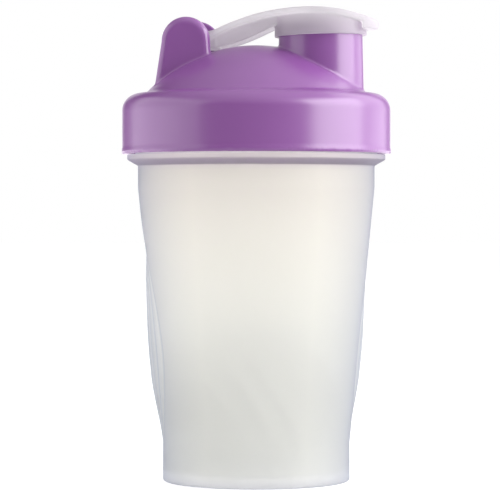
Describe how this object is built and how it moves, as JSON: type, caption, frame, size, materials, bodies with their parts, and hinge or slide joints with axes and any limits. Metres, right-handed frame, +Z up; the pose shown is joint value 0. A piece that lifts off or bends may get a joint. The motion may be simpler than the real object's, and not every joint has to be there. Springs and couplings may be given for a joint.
{
  "type": "protein shaker bottle",
  "caption": "Tapered translucent shaker cup with side grips, screw-on domed lid, pouring spout under a hinged flip cap, and a loose wire whisk ball inside.",
  "frame": {"origin": "centre of the cup's foot, on the plane it stands on", "axes": "+Z up along the cup's axis, +X from the axis towards the pouring spout with the lid screwed home, +Y to the left of the spout seen from the back of the lid"},
  "size_m": [0.09, 0.09, 0.1582],
  "materials": {
    "cup_plastic": "milky translucent polypropylene, fine satin",
    "lid_plastic": "satin-gloss moulded purple",
    "seal_silicone": "soft translucent silicone",
    "cap_plastic": "satin translucent white",
    "whisk_steel": "drawn stainless wire"
  },
  "bodies": {
    "cup": {"cup": "cup_plastic"},
    "seal_ring": {"lid_seal": "seal_silicone"},
    "lid": {"lid": "lid_plastic"},
    "flip_cap": {"flip_cap": "cap_plastic"},
    "whisk_ball": {"whisk_ball": "whisk_steel"}
  },
  "joints": [
    {"name": "lid_lift", "type": "slide", "parent": "cup", "child": "seal_ring", "axis": [0, 0, 1], "range_m": [0, 0.00625]},
    {"name": "lid_turn", "type": "hinge", "parent": "seal_ring", "child": "lid", "pos_m": [0, 0, 0.117], "axis": [0, 0, 1], "range_deg": [0, 450]},
    {"name": "flip_cap_hinge", "type": "hinge", "parent": "lid", "child": "flip_cap", "pos_m": [-0.0219, 0, 0.1466], "axis": [0, -1, 0], "range_deg": [0, 180]},
    {"name": "whisk_ball_slide", "type": "slide", "parent": "cup", "child": "whisk_ball", "axis": [0, 0, 1], "range_m": [0, 0.055]}
  ],
  "couplings": [
    {"joint": "lid_lift", "follows": "lid_turn", "m_per_rad": 0.00079577}
  ]
}
